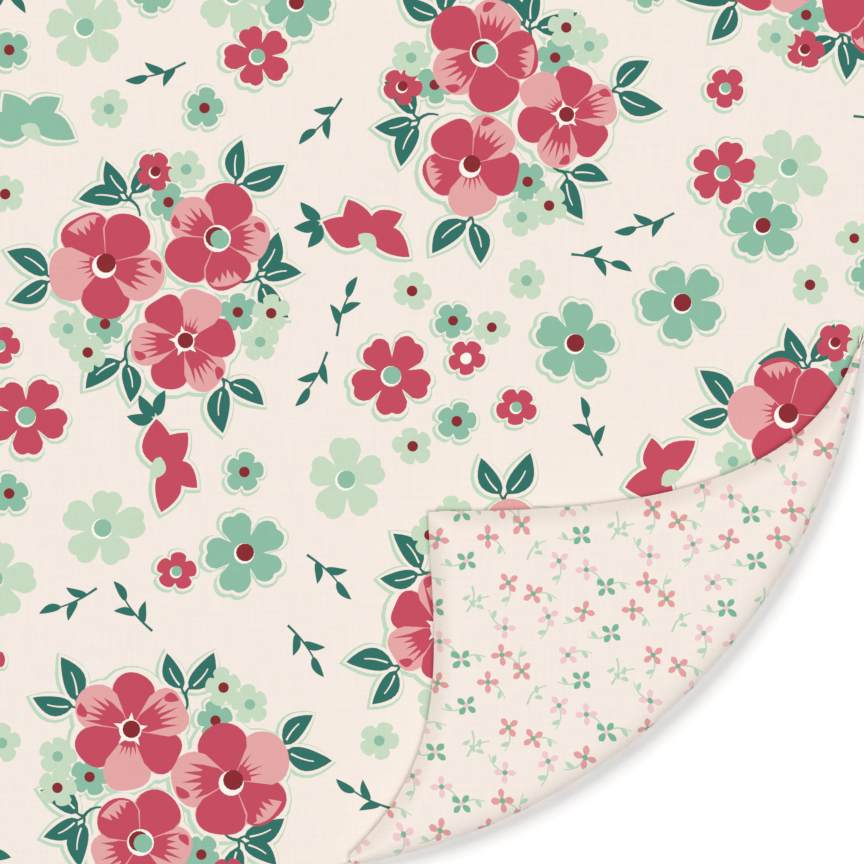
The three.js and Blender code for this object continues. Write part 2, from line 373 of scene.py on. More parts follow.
# %% Roses
def rose_petal(centre, angle, half_width, reach, finish, seed):
    rule = random.Random(seed)
    across = np.linspace(-1, 1, 17)
    ruffle = 1 + 0.025 * np.sin(5 * across + seed)
    rim = reach * (1 - np.abs(across) ** 3.2) ** 0.42 * ruffle

    def place(shares, radii, widen=1.0):
        angles = math.radians(angle) + np.array(shares) * math.radians(half_width) * widen
        return ring_of(centre, radii, angles)

    two_toned = finish in ("streaked", "pale")
    paint(ROSE, "blush", place(across, rim * 0.985, 1.07))
    paint(ROSE, "blush" if two_toned else "crimson", place(across, rim))
    if two_toned:
        tongues = 5 if finish == "streaked" else 4
        low, high = (0.56, 0.9) if finish == "streaked" else (0.3, 0.56)
        lean = rule.uniform(-0.06, 0.06)
        shares, radii = [-0.86], [0.3]
        for i in range(tongues):
            middle = -0.62 + 1.3 * (i + 0.5) / tongues
            tall = low + (high - low) * rule.uniform(0.35, 1.0)
            shares += [middle - 0.1, middle + lean, middle + 0.1]
            radii += [low * 0.97, tall, low * 0.93]
        shares += [0.86, 0]
        radii += [0.3, 0]
        limit = np.interp(shares, across, rim / reach)
        paint(ROSE, "crimson", place(shares, reach * np.minimum(radii, limit * 0.96)))
        if finish == "streaked":
            spot = place([0.5], [reach * 0.76])[0]
            paint(ROSE, "crimson", blade(spot, place([0.16], [reach * 0.94])[0], reach * 0.16))
    if finish == "tipped":
        rim_share, teeth = 0.93, [0.93, 0.7, 0.84, 0.62, 0.8, 0.66, 0.86, 0.74, 0.88, 0.92]
        shares = np.concatenate([np.linspace(-0.62, 0.3, 8), np.linspace(0.3, -0.62, len(teeth))])
        radii = np.array([rim_share] * 8 + teeth)
        limit = np.interp(shares, across, rim / reach)
        paint(ROSE, "blush", place(shares, reach * radii * np.minimum(limit * 1.02, 1)))


ROSE_FINISHES = {
    "ring": ["tipped", "pale", "plain", "streaked", "plain"],
    "star": ["plain", "streaked", "plain", "pale", "plain", "streaked"],
    "moon": ["streaked", "plain", "streaked", "plain", "tipped"],
}


def rose(x, y, radius, heart, turn):
    centre = np.array([x, y], float)
    finishes = ROSE_FINISHES[heart]
    step = 360 / len(finishes)
    for i in range(len(finishes)):
        # the echo follows the petals' rims, a little outside them
        echo(disc(polar(x, y, turn + i * step, 0.5 * radius), radius * 0.5, 18), 2.2, shift=(-0.5, -0.4))
    for i, finish in enumerate(finishes):
        reach = radius * (1.02 if i % 2 else 0.95)
        rose_petal(centre, turn + i * step, step * 0.62, reach, finish, int(x) + 7 * i)
    if heart == "star":
        rays = np.where(np.arange(10) % 2 == 0, 0.3, 0.12) * radius
        star = ring_of(centre, rays, math.radians(turn) + np.arange(10) * math.pi / 5)
        paint(ROSE, "white", star)
        paint(ROSE, "white", disc(centre, 0.19 * radius))
        paint(ROSE, "wine", disc(centre + (0.4, 0.3), 0.15 * radius))
    elif heart == "moon":
        paint(ROSE, "white", disc(centre, 0.25 * radius, 18))
        paint(ROSE, "wine", disc(centre + (-0.6, 0.5), 0.19 * radius))
        paint(ROSE, "mint", disc(centre + (0.9, -0.3), 0.175 * radius))
    else:
        paint(ROSE, "white", disc(centre + (-0.7, -1.1), 0.21 * radius, 18))
        paint(ROSE, "wine", disc(centre, 0.17 * radius))


# %% [markdown]
# The face print's layout has a fourteen inch repeat, and it is laid out by rule.
# It is a plain country print: bouquets of three roses stand on a slanting grid, each turned
# differently, and smaller flowers fill the ground between them, from large to small.
# Each new motif goes where it has the most room out of many tries, as cut-outs are placed by eye.
# Room is measured to the neighbouring repeats as well, so the pattern joins up.

# %% Where a motif has room
REPEAT = 355.6
TRIES = 400


def most_room(taken, size, drop, rule):
    """Of many tries, the place that is farthest from all motifs and their copies next door."""
    tries = np.array([(rule.uniform(0, size), rule.uniform(0, size)) for _ in range(TRIES)])
    others = np.array(taken)
    room = np.full(TRIES, size)
    for i in (-1, 0, 1):
        for j in (-1, 0, 1):
            away = tries[:, None] - others[:, :2] - (i * size, j * size + abs(i) * drop)
            room = np.minimum(room, (np.hypot(away[..., 0], away[..., 1]) - others[:, 2]).min(1))
    return tries[np.argmax(room)]


# %% [markdown]
# A bouquet is one recipe: three roses round a middle, a fan of leaves outside each gap between them,
# a second fan behind each rose, and small flowers tucked in close.
# It is turned, and made a little larger or smaller, for each place on the grid.

# %% Bouquets
taken = []  # the middle and reach of all that has been placed
rule = random.Random(5)


def fan(x, y, heading, leaves, length):
    """Leaves spread out from the end of one short stem."""
    for i in range(leaves):
        angle = heading + 58 * (i - (leaves - 1) / 2)
        hand = 1 if i % 2 else -1
        base, tip = polar(x, y, angle, 2.2), polar(x, y, angle, 2 + length * (1 - 0.12 * (i % 2)))
        leaf(base, tip, 0.48, 0.1 * hand)
        paint(STEM, "leaf", stroke(bow((x, y), polar(*base, angle, 1.5), 0.1, 4), 1.1))
    paint(STEM, "leaf", stroke(bow((x, y), polar(x, y, heading + 180, 7), 0.15, 5), 1.2))
    taken.append((*polar(x, y, heading, length * 0.5), length * 0.8))


def bouquet(x, y, turn, size):
    for i, heart in enumerate(("ring", "star", "moon")):
        heading = turn + 120 * i + rule.uniform(-6, 6)
        radius = size * rule.uniform(0.92, 1.06)
        middle = polar(x, y, heading, 1.12 * size)
        rose(*middle, radius, heart, turn=heading - 40)
        taken.append((*middle, radius + 3))
        fan(*polar(x, y, heading + 14, 2 * size), heading + 14, 2, 17)
        gap = heading + 60
        fan(*polar(x, y, gap + 16, 1.55 * size), gap + 22, 3 if i else 2, 16)
        for aside, distance, ink in ((-10, 1.35, "mint"), (-3, 1.9, "pale"), (-19, 1.95, "pale")):
            spot = polar(x, y, gap + aside, distance * size)
            ink = "crimson" if i == 2 and aside == -3 else ink
            mini(*spot, ink, "mint" if aside == -19 else "wine", turn=gap, echoed=ink != "pale")
            taken.append((*spot, 8))


def draw_bouquets():
    """Three columns to a repeat, each standing a sixth of the repeat higher than the last."""
    for column in range(3):
        for row in range(2):
            x = REPEAT * (column + 0.5) / 3
            y = REPEAT * (0.5 * row + column / 6 + 0.08)
            bouquet(x, y, 75 * column + 160 * row, rule.uniform(19, 21.5))


draw_bouquets()
print(len(taken), "roses, fans and small flowers in six bouquets")

# %% [markdown]
# The ground flowers go in by size: clusters first, then single blossoms, half-open flowers, trios,
# fine sprigs, and at last the smallest flowers.
# Pale blossoms have no echo line, which lets them fall back behind the red ones.

# %% Ground flowers
def cluster(x, y, turn, count):
    """Three blossoms that touch, one of each colour."""
    blossom(*polar(x, y, turn, 13), 12.5, "mint", "wine", turn)
    blossom(*polar(x, y, turn + 120, 13), 14, "pale", "mint", turn + 20, echoed=False)
    blossom(*polar(x, y, turn + 240, 14), 11.5, "crimson", "mint", turn + 50)


def trio(x, y, turn, count):
    for i, ink in enumerate(("pale", "mint", "crimson")):
        place = polar(x, y, turn + 120 * i, 8)
        mini(*place, ink, "white" if ink == "crimson" else "wine", 6.4, turn=turn, echoed=ink != "pale")


def half_open(x, y, turn, count):
    bud(x, y, 27, "crimson" if count % 3 else "mint", turn)


def single(x, y, turn, count):
    ink, heart = (("crimson", "mint"), ("pale", "mint"), ("mint", "wine"))[count % 3]
    blossom(x, y, 14.5, ink, heart, turn, echoed=ink != "pale")


def small(x, y, turn, count):
    ink, heart = (("mint", "wine"), ("pale", "wine"), ("crimson", "mint"), ("pale", "mint"))[count % 4]
    mini(x, y, ink, heart, 6.9, turn=turn, echoed=ink != "pale")


def twig(x, y, turn, count):
    sprig(polar(x, y, turn, 10), polar(x, y, turn + 180, 10), 1 if count % 2 else -1)


# how many, how far each one reaches, and what draws it
GROUND = (
    (3, 27, cluster),
    (16, 16, single),
    (6, 15, half_open),
    (6, 13, trio),
    (18, 10, twig),
    (24, 8, small),
)


def draw_ground():
    for number, reach, draw in GROUND:
        for count in range(number):
            x, y = most_room(taken, REPEAT, 0, rule)
            draw(x, y, rule.uniform(0, 360), count)
            taken.append((x, y, reach))


draw_ground()
face_print.sort(key=lambda shape: shape[0])
print(len(face_print), "shapes in the face print,", sum(len(s[2]) for s in face_print), "points")

# %% [markdown]
# The back print is a ditsy: tiny four-petalled flowers on short stems, tossed in every direction.
# The same rule of most room places them. The repeat is a two inch square, and each next column
# drops by half a repeat, which hides the rows that a plain square repeat would show.

# %% Back print
DITSY = 50.8
DITSY_INKS = ("coral", "petal pink", "fern", "petal pink", "coral")
SPRIGS, TWIGS = [], []


def toss():
    """Fourteen small flowers and three twigs, each where it has room, headed any way."""
    chance = random.Random(8)
    held = []
    for count in range(17):
        x, y = most_room(held, DITSY, DITSY / 2, chance) if held else (DITSY / 2, DITSY / 2)
        heading = chance.uniform(-180, 180)
        if count % 6 == 5 or count == 16:
            TWIGS.append((x, y, heading))
        else:
            SPRIGS.append((x, y, heading, DITSY_INKS[count % 5]))
        held.append((x, y, 4.5))
        held.append((*polar(x, y, heading, 7), 1.5))


toss()
print(len(SPRIGS), "flowers and", len(TWIGS), "twigs in the back print")


def ditsy(fine):
    """One repeat of the back print; the coarse one is for cloth that lies face down."""
    sheet = []
    points = 5 if fine else 3
    for x, y, heading, ink in SPRIGS:
        end = polar(x, y, heading, 8.5)
        if fine:
            lay(sheet, 0, "stem", stroke(bow((x, y), end, 0.14, 5), 0.6))
        root = polar(x, y, heading + 10, 5)
        lay(sheet, 0, "stem", blade(root, polar(*root, heading - 55, 3.2), 1.6, 0.1, points, 1.1, 0.7))
        for petal in range(4):
            way = heading + 45 + 90 * petal
            outline = blade(polar(x, y, way, 0.3), polar(x, y, way, 4.0), 2.15, 0, points, 1.35, 0.6)
            lay(sheet, 1, ink, outline)
        heart = "petal pink" if ink == "fern" else "fern"
        lay(sheet, 2, heart, disc((x, y), 0.95, 8 if fine else 5))
    for x, y, heading in TWIGS:
        lay(sheet, 0, "stem", stroke(bow((x, y), polar(x, y, heading, 9.5), 0.16, 6), 0.75))
        for hand, reach in ((-1, 3.4), (1, 5.2)):
            root = polar(x, y, heading, reach)
            side = heading + 50 * hand
            lay(sheet, 0, "stem", blade(root, polar(*root, side, 3.2), 1.5, 0.1, points, 1.1, 0.7))
    sheet.sort(key=lambda shape: shape[0])
    return sheet


ditsy_fine, ditsy_coarse = ditsy(True), ditsy(False)
print(len(ditsy_fine), "shapes in one repeat of the back print")


def repeated(sheet, low, high, start, step_across, step_up, drop=0.0):
    """Copies of one repeat over the rectangle from low to high, in painting order."""
    copies = []
    first, last = [math.floor((end - start[0]) / step_across) for end in (low[0], high[0])]
    for column in range(first - 1, last + 2):
        fall = (column % 2) * drop
        bottom, top = [math.floor((end - start[1] - fall) / step_up) for end in (low[1], high[1])]
        for row in range(bottom - 1, top + 2):
            shift = np.array([start[0] + column * step_across, start[1] + row * step_up + fall])
            for layer, ink, outline in sheet:
                moved = outline + shift
                if (moved.max(0) > low).all() and (moved.min(0) < high).all():
                    copies.append((layer, ink, moved))
    copies.sort(key=lambda shape: shape[0])
    return copies


def floral(low, high):
    return repeated(face_print, low, high, (VIEW_LEFT, VIEW_FRONT), REPEAT, REPEAT)


def ditsy_sheet(low, high, fine=False):
    sheet = ditsy_fine if fine else ditsy_coarse
    return repeated(sheet, low, high, (RIGHT, FRONT), DITSY, DITSY, DITSY / 2)


# %% [markdown]
# The cloth's finish. Each face of the mesh carries its ink as a colour attribute,
# and the material adds what makes dyed cotton look woven:
# a plain weave as bump, slightly thicker threads here and there, and a little unevenness in the dye.
# The weave is laid out on a UV map in the cloth's own millimetres, so it follows every bend.

# %% Printed cotton
WEAVE = 0.55  # from one thread to the next


def wave_scale(pitch):
    """A wave texture turns 20 radians per metre at scale 1."""
    return math.tau / 20 / (pitch * MM)


def node(tree, kind, **values):
    """A shader node; each value goes to the input of that name, or else to the setting."""
    made = tree.nodes.new(kind)
    for name, value in values.items():
        if name in made.inputs:
            made.inputs[name].default_value = value
        else:
            setattr(made, name, value)
    return made


def blended(tree, way, amount, under, over):
    """Two colours mixed; without an under colour, the caller sets it on the socket."""
    mix = node(tree, "ShaderNodeMix", data_type="RGBA", blend_type=way)
    mix.inputs["Factor"].default_value = amount
    if under:
        tree.links.new(under, mix.inputs[6])
    tree.links.new(over, mix.inputs[7])
    return mix


def make_bumpy(tree, shader, height, strength, distance):
    bump = node(tree, "ShaderNodeBump", Strength=strength, Distance=distance)
    tree.links.new(height, bump.inputs["Height"])
    tree.links.new(bump.outputs["Normal"], shader.inputs["Normal"])


def sum_of(tree, one, share, two):
    """A share of one height added to another."""
    height = node(tree, "ShaderNodeMath", operation="MULTIPLY_ADD")
    height.inputs[1].default_value = share
    tree.links.new(one, height.inputs[0])
    tree.links.new(two, height.inputs[2])
    return height.outputs[0]


def stretched_noise(tree, place, stretch, **values):
    way = node(tree, "ShaderNodeMapping", Scale=stretch)
    noise = node(tree, "ShaderNodeTexNoise", Scale=1.0, **values)
    tree.links.new(place, way.inputs["Vector"])
    tree.links.new(way.outputs["Vector"], noise.inputs["Vector"])
    return noise.outputs["Fac"]


def cotton(name, ink=None):
    """Woven cotton in the inks of its mesh, or in one ink of its own."""
    material, tree, shader = plain_material(name, 0.85, 0.15)
    link = tree.links.new
    shader.inputs["Sheen Weight"].default_value = 0.06
    shader.inputs["Sheen Roughness"].default_value = 0.5
    place = node(tree, "ShaderNodeUVMap", uv_map="cloth")
    threads = node(tree, "ShaderNodeMath", operation="ADD")
    for i, stretch in enumerate(((900, 70, 1), (70, 900, 1))):
        link(stretched_noise(tree, place.outputs["UV"], stretch, Detail=2.0), threads.inputs[i])
    limits = {"From Min": 0.7, "From Max": 1.3, "To Min": 0.965, "To Max": 1.0}
    shade = node(tree, "ShaderNodeMapRange", **limits)
    link(threads.outputs[0], shade.inputs["Value"])
    dye = None if ink else node(tree, "ShaderNodeAttribute", attribute_name="ink").outputs["Color"]
    tone = blended(tree, "MULTIPLY", 1.0, dye, shade.outputs["Result"])
    if ink:
        tone.inputs[6].default_value = (*linear(INKS[ink]), 1)
    link(tone.outputs[2], shader.inputs["Base Color"])
    warp = node(tree, "ShaderNodeTexWave", bands_direction="X", Scale=wave_scale(WEAVE))
    weft = node(tree, "ShaderNodeTexWave", bands_direction="Y", Scale=wave_scale(WEAVE))
    over = node(tree, "ShaderNodeTexChecker", Scale=1 / (WEAVE * MM))
    for texture in (warp, weft, over):
        link(place.outputs["UV"], texture.inputs["Vector"])
    weave = node(tree, "ShaderNodeMix", data_type="FLOAT")
    link(over.outputs["Fac"], weave.inputs["Factor"])
    link(warp.outputs["Fac"], weave.inputs[2])
    link(weft.outputs["Fac"], weave.inputs[3])
    height = sum_of(tree, weave.outputs[0], 0.35, threads.outputs[0])
    make_bumpy(tree, shader, height, 0.25, 0.12 * MM)
    return material


face_cotton = cotton("printed cotton, face")
back_cotton = cotton("printed cotton, back")

# %% [markdown]
# Printing. All outlines are cut into one mesh of triangles at once with Blender's own
# constrained triangulation, which also says which outlines cover each triangle.
# The last outline painted over it gives its ink.
# Then the flat sheet is carried to its place by a function: laid flat, rolled over or wound.
# A narrow strip along the border gives the ply its thickness.

# %% Printed sheets
STACK = 0.95  # from the middle between the plies to either printed surface
RIM = 0.75  # how deep the strip along the border goes
BLOCK = 60.0  # the sheet is cut up in squares this wide, because small cuts are much quicker
SIDE_STEPS = 24  # points along a square's side where the cloth is curved
KEEP_OFF = 0.3  # extra points stay this far inside their square
CUT_EXACTNESS = 1e-5
SLIVER = 1e-5  # twice the area, below which a triangle is dropped


def near_block(ring, low, high):
    return (ring.max(0) > low).all() and (ring.min(0) < high).all()


def square(low, high, steps):
    """The square's outline, with extra points along its sides where the cloth will be curved."""
    ring = [np.array(p) for p in (low, (high[0], low[1]), high, (low[0], high[1]), low)]
    share = np.arange(steps)[:, None] / steps
    return np.concatenate([a + (b - a) * share for a, b in zip(ring[:-1], ring[1:])])


def cut_block(low, high, outline, shapes, lines, dots):
    """Triangles of one square of the sheet, each with the ink that lies on top."""
    points, polygons, edges = [], [], []

    def add(ring):
        first = len(points)
        points.extend(Vector((float(x), float(y))) for x, y in ring)
        return list(range(first, len(points)))

    inks = [INK_NAMES.index("cream")] * 2
    polygons.append(add(facing_up(outline)))
    polygons.append(add(square(low, high, SIDE_STEPS if len(dots) else 1)))
    for _, ink, ring in shapes:
        if near_block(ring, low, high):
            polygons.append(add(ring))
            inks.append(ink)
    for line in lines:
        for ends in zip(line[:-1], line[1:]):
            if near_block(np.array(ends), low, high):
                edges.append(add(ends))
    add(dots[((dots > low + KEEP_OFF) & (dots < high - KEEP_OFF)).all(1)])
    points, _, faces, _, _, covers = delaunay_2d_cdt(points, edges, polygons, 1, CUT_EXACTNESS, True)
    kept = [(face, inks[max(c)]) for face, c in zip(faces, covers) if 0 in c and 1 in c]
    faces = np.array([face for face, _ in kept], int).reshape(-1, 3)
    return np.array([tuple(p) for p in points]), faces, [ink for _, ink in kept]


def joined_up(points, faces, inks):
    """The blocks' triangles with shared points, without slivers that have no width."""
    corners = points[faces]
    one, two = corners[:, 1] - corners[:, 0], corners[:, 2] - corners[:, 0]
    wide = np.abs(one[:, 0] * two[:, 1] - one[:, 1] * two[:, 0]) > SLIVER
    used = np.unique(faces[wide])
    near = np.round(points[used], 3)
    _, first, same = np.unique(near, axis=0, return_index=True, return_inverse=True)
    renumber = np.zeros(len(points), int)
    renumber[used] = same.ravel()
    faces, inks = renumber[faces[wide]], inks[wide]
    whole = (faces != np.roll(faces, 1, axis=1)).all(1)
    return points[used][first], faces[whole], inks[whole]


def triangles_of(outline, shapes, lines, dots):
    """Triangles of the whole sheet, cut square by square."""
    low, high = outline.min(0), outline.max(0)
    count = np.maximum(np.ceil((high - low) / BLOCK).astype(int), 1)
    size = (high - low) / count
    points, faces, inks = [], [], []
    total = 0
    for column in range(count[0]):
        for row in range(count[1]):
            corner = low + size * (column, row)
            block = cut_block(corner, corner + size, outline, shapes, lines, dots)
            points.append(block[0])
            faces.append(block[1] + total)
            inks += block[2]
            total += len(block[0])
    return joined_up(np.concatenate(points), np.concatenate(faces), np.array(inks))


def border_of(faces):
    """Edges that only one triangle has."""
    edges = np.concatenate([faces[:, [0, 1]], faces[:, [1, 2]], faces[:, [2, 0]]])
    key = edges.min(1) * 10**7 + edges.max(1)
    _, first, count = np.unique(key, return_index=True, return_counts=True)
    return edges[first[count == 1]]


def gap_to(points, line):
    """Shortest distance from each point to a polyline."""
    best = np.full(len(points), 1e9)
    for a, b in zip(line[:-1], line[1:]):
        way = b - a
        along = np.clip(((points - a) @ way) / (way @ way), 0, 1)
        best = np.minimum(best, np.hypot(*(points - a - along[:, None] * way).T))
    return best


def give_uv(mesh, spots):
    """The weave's map: each point's place on the flat cloth."""
    corners = np.zeros(len(mesh.loops), int)
    mesh.loops.foreach_get("vertex_index", corners)
    mesh.uv_layers.new(name="cloth").data.foreach_set("uv", (spots[corners] * MM).ravel())


def unit(ways):
    return ways / np.maximum(np.linalg.norm(ways, axis=1), 1e-9)[:, None]


def give_ink(mesh, inks, corners_of_face):
    colour = np.repeat(ink_light[inks], corners_of_face, axis=0)
    layer = mesh.color_attributes.new("ink", "FLOAT_COLOR", "CORNER")
    layer.data.foreach_set("color", colour.ravel())


NO_DOTS = np.zeros((0, 2))
ON_OUTLINE = 0.02  # border points within this of the outline get a rim; others are block seams


def printed(name, outline, shapes, place, side, material, lines=(), dots=NO_DOTS):
    """A ply of cloth, printed on one side: side 1 is the side that the sheet's normal points to."""
    flat, faces, inks = triangles_of(outline, shapes, lines, dots)
    middle, normal = place(flat)
    surface = middle + side * STACK * normal
    border = border_of(faces)
    outer = gap_to(flat, np.concatenate([outline, outline[:1]])) < ON_OUTLINE
    border = border[outer[border].all(1)]
    rim = np.unique(border)
    where = np.zeros(len(flat), int)
    where[rim] = np.arange(len(rim))
    way = np.zeros((len(flat), 3))
    run = surface[border[:, 1]] - surface[border[:, 0]]
    for end in (0, 1):
        np.add.at(way, border[:, end], unit(np.cross(run, normal[border[:, 0]])))
    way = unit(way[rim])
    top, bottom = len(flat) + where[border], len(flat) + len(rim) + where[border]
    lowered = surface[rim] - side * RIM * normal[rim]
    places = np.concatenate([surface, surface[rim], lowered])
    normals = np.concatenate([side * normal, way, way])
    walls = np.stack([top[:, 1], top[:, 0], bottom[:, 0], bottom[:, 1]], 1)
    if side < 0:
        faces, walls = faces[:, ::-1], walls[:, ::-1]
    piece, mesh = make_piece(name, places, faces.tolist() + walls.tolist(), material)
    inks = np.concatenate([inks, np.full(len(walls), INK_NAMES.index("cream"))])
    give_ink(mesh, inks, [3] * len(faces) + [4] * len(walls))
    give_uv(mesh, np.concatenate([flat, flat[rim], flat[rim]]))
    mesh.normals_split_custom_set_from_vertices(normals.tolist())
    print(name, len(mesh.polygons), "faces")
    return piece


# %% [markdown]
# The free end lies flat. Its front right corner is a quarter circle where the cloth turns over,
# and there the flat plies stop where the roll of the fold begins.
# The fold is described once, round the middle of that quarter circle:
# an angle round it and a distance from it give any point of the turned corner.

# %% The fold, seen from above
FOLD_RADIUS = 218
FOLD_X, FOLD_Y = RIGHT - FOLD_RADIUS, FRONT + FOLD_RADIUS
ROLL_REACH = 7.5  # how far out the roll swells from where it starts
CROWN = 6.5  # how far the turned corner stands above its resting edge
CROWN_EDGE = 8  # the way in from a free edge over which it rises to the crown
EDGE_REST = 3.15  # height of the free edges' middle, on top of the plies below
HORN_GAP = 0.4  # degrees left out at each end, where the fold comes to a point


def bezier(a, b, c, d, points=48):
    t = np.linspace(0, 1, points)[:, None]
    a, b, c, d = [np.array(p, float) + (RIGHT, FRONT) for p in (a, b, c, d)]
    return (1 - t) ** 3 * a + 3 * t * (1 - t) ** 2 * b + 3 * t * t * (1 - t) * c + t**3 * d


TIP = (-154.5, 126)
side_edge = bezier(TIP, (-77, 125), (-14, 136), (-1.4, 191))
front_edge = bezier(TIP, (-152, 74), (-145, 39), (-184.5, 3))


def round_fold(points):
    """Angle in degrees, clockwise from the right, and distance from the fold's middle."""
    x, y = points[:, 0] - FOLD_X, points[:, 1] - FOLD_Y
    return np.degrees(np.arctan2(-y, x)), np.hypot(x, y)


def at_fold(angle, distance):
    angle = np.radians(angle)
    return np.stack([FOLD_X + distance * np.cos(angle), FOLD_Y - distance * np.sin(angle)], 1)


edge_angle, edge_distance = round_fold(np.concatenate([side_edge[::-1], front_edge[1:]]))
HORN_START, HORN_END = edge_angle[0], edge_angle[-1]


def corner_width(angle):
    """How far the turned corner reaches in from the fold, 0 where there is none."""
    inner = np.interp(angle, edge_angle, edge_distance)
    inside = (angle > HORN_START) & (angle < HORN_END)
    return np.where(inside, np.maximum(FOLD_RADIUS - inner, 0), 0)


def roll_reach(angle):
    return np.minimum(ROLL_REACH, 0.45 * corner_width(angle))


print("the fold runs from", round(HORN_START, 1), "to", round(HORN_END, 1), "degrees")

# %% The flat free end
def flat_outline():
    angle = np.concatenate([np.linspace(90, 0, 61), [HORN_START, HORN_END, 55.4]])
    angle = np.unique(angle)[::-1]
    arc = at_fold(angle, FOLD_RADIUS - roll_reach(angle))
    return np.concatenate([[(LEFT, FRONT)], arc, [(RIGHT, FOOT), (LEFT, FOOT)]])


def lay_flat(points):
    middle = np.concatenate([points, np.full((len(points), 1), STACK)], 1)
    return middle, np.tile([0.0, 0.0, 1.0], (len(points), 1))


flat_shape = flat_outline()
flat_box = (flat_shape.min(0), flat_shape.max(0))
free_face = printed("free_end_face", flat_shape, floral(*flat_box), lay_flat, 1, face_cotton)
free_back = printed("free_end_back", flat_shape, ditsy_sheet(*flat_box), lay_flat, -1, back_cotton)

# %% [markdown]
# The turned corner is where the cloth comes over itself.
# Its free edges rest on the face below, and it swells to a soft crown between them.
# At the fold it rolls over in half an ellipse.
# A cloth simulation would fall into this shape too, but it would also wander from the one that is wanted,
# so the shape is written as a height over the plan, and its normals are measured from it.

# %% The turned corner
def corner_height(points):
    one, two = gap_to(points, side_edge), gap_to(points, front_edge)
    near = one * two / np.maximum(np.hypot(one, two), 1e-9)
    return EDGE_REST + CROWN * np.sin(math.pi / 2 * np.minimum(near / CROWN_EDGE, 1))


def roll_length(reach, half):
    """Ramanujan's length of half an ellipse."""
    return math.pi / 2 * (3 * (reach + half) - np.sqrt((3 * reach + half) * (reach + 3 * half)))


def corner_middle(points):
    angle, distance = round_fold(points)
    reach = np.maximum(roll_reach(angle), 1e-3)
    start = FOLD_RADIUS - reach
    inner = at_fold(angle, np.minimum(distance, start))
    high = corner_height(inner)
    half = (high - STACK) / 2
    turn = math.pi * np.clip((distance - start) / roll_length(reach, half), 0, 1)
    outer = at_fold(angle, np.minimum(distance, start) + reach * np.sin(turn))
    return np.column_stack([outer, high - half * (1 - np.cos(turn))])


def roll_corner(points):
    small = 0.02
    middle = corner_middle(points)
    angle, distance = round_fold(points)
    just_inside = 0.4
    inner = FOLD_RADIUS - corner_width(angle) + just_inside
    points = at_fold(angle, np.maximum(distance, inner))  # at the edge itself a slope has no far side
    here = corner_middle(points)
    angle = np.radians(angle)
    out = np.stack([np.cos(angle), -np.sin(angle)], 1) * small
    round_ = np.stack([np.sin(angle), np.cos(angle)], 1) * small
    normal = np.cross(here - corner_middle(points - out), corner_middle(points + round_) - here)
    normal /= np.maximum(np.linalg.norm(normal, axis=1), 1e-12)[:, None]
    return middle, normal


def corner_outline():
    angle = np.linspace(HORN_START + HORN_GAP, HORN_END - HORN_GAP, 90)
    reach = roll_reach(angle)
    start = at_fold(angle, FOLD_RADIUS - reach)
    half = (corner_height(start) - STACK) / 2
    rim = at_fold(angle, FOLD_RADIUS - reach + roll_length(reach, half))
    free = at_fold(edge_angle, edge_distance)[::-1]
    back_round = edge_angle[::-1]
    free = free[(back_round < HORN_END - HORN_GAP) & (back_round > HORN_START + HORN_GAP)]
    return np.concatenate([rim, free]), angle


corner_shape, corner_angles = corner_outline()


def corner_lines():
    reach = roll_reach(corner_angles)
    start = FOLD_RADIUS - reach
    half = (corner_height(at_fold(corner_angles, start)) - STACK) / 2
    length = roll_length(reach, half)
    return [at_fold(corner_angles, start + length * share) for share in np.linspace(0, 0.96, 13)]


def corner_dots(step=2.5):
    x = np.arange(RIGHT - 200, RIGHT, step)
    y = np.arange(FRONT, FRONT + 205, step)
    dots = np.stack(np.meshgrid(x, y), -1).reshape(-1, 2)
    angle, distance = round_fold(dots)
    width = corner_width(angle)
    inside = (distance < FOLD_RADIUS - roll_reach(angle) - 1) & (distance > FOLD_RADIUS - width + 0.5)
    return dots[inside & (width > 2)]


corner_box = (corner_shape.min(0), corner_shape.max(0))
dots, lines = corner_dots(), corner_lines()
corner_back = printed("turned_corner_back", corner_shape, ditsy_sheet(*corner_box, fine=True),
                      roll_corner, 1, back_cotton, lines, dots)
corner_face = printed("turned_corner_face", corner_shape, floral(*corner_box),
                      roll_corner, -1, face_cotton, lines, dots)

# %% [markdown]
# From the back of the flat end the cloth climbs to the wound pack, goes over its front shoulder
# and on round the board. The path is drawn from the side as arcs and straight runs.
# The sheet is printed flat and then carried along that path by its length,
# so the print comes over the shoulder without stretching.

# %% The path of the last turn
SHOULDER = pack_low[1] + 22.7  # the middle of the front shoulder's bend
LEAVING = 60  # the slope's steepest angle
SHOULDER_Z = (pack_low[2] + pack_high[2]) / 2 + 7.3
SHOULDER_RADIUS = run_high[2] - STACK - SHOULDER_Z
SLOPE_RADIUS = (SHOULDER - FOOT) / math.sin(math.radians(LEAVING)) - SHOULDER_RADIUS
BACK_EDGE = board_high[1]
UNDER = STACK  # the height of the last turn's middle, where it passes under the pack


def arc_path(y, z, radius, start, end, end_radius=None, steps=60):
    angle = np.radians(np.linspace(start, end, steps))
    reach = np.linspace(radius, end_radius or radius, steps)
    return np.stack([y + reach * np.cos(angle), z + reach * np.sin(angle)], 1)


def last_turn_path():
    lift = run_high[2] - STACK
    top_bend, low_bend = lift - board_high[2], board_low[2] - UNDER
    parts = [arc_path(FOOT, SLOPE_RADIUS + STACK, SLOPE_RADIUS, -90, LEAVING - 90)]
    parts.append(arc_path(SHOULDER, SHOULDER_Z, SHOULDER_RADIUS, 90 + LEAVING, 90))
    parts.append(arc_path(BACK_EDGE, board_high[2], top_bend, 90, 0, low_bend + 0.5))
    parts.append(arc_path(BACK_EDGE, board_low[2], low_bend + 0.5, 0, -90, low_bend))
    parts.append(np.array([[board_low[1] + 4, UNDER]]))
    return np.concatenate(parts)


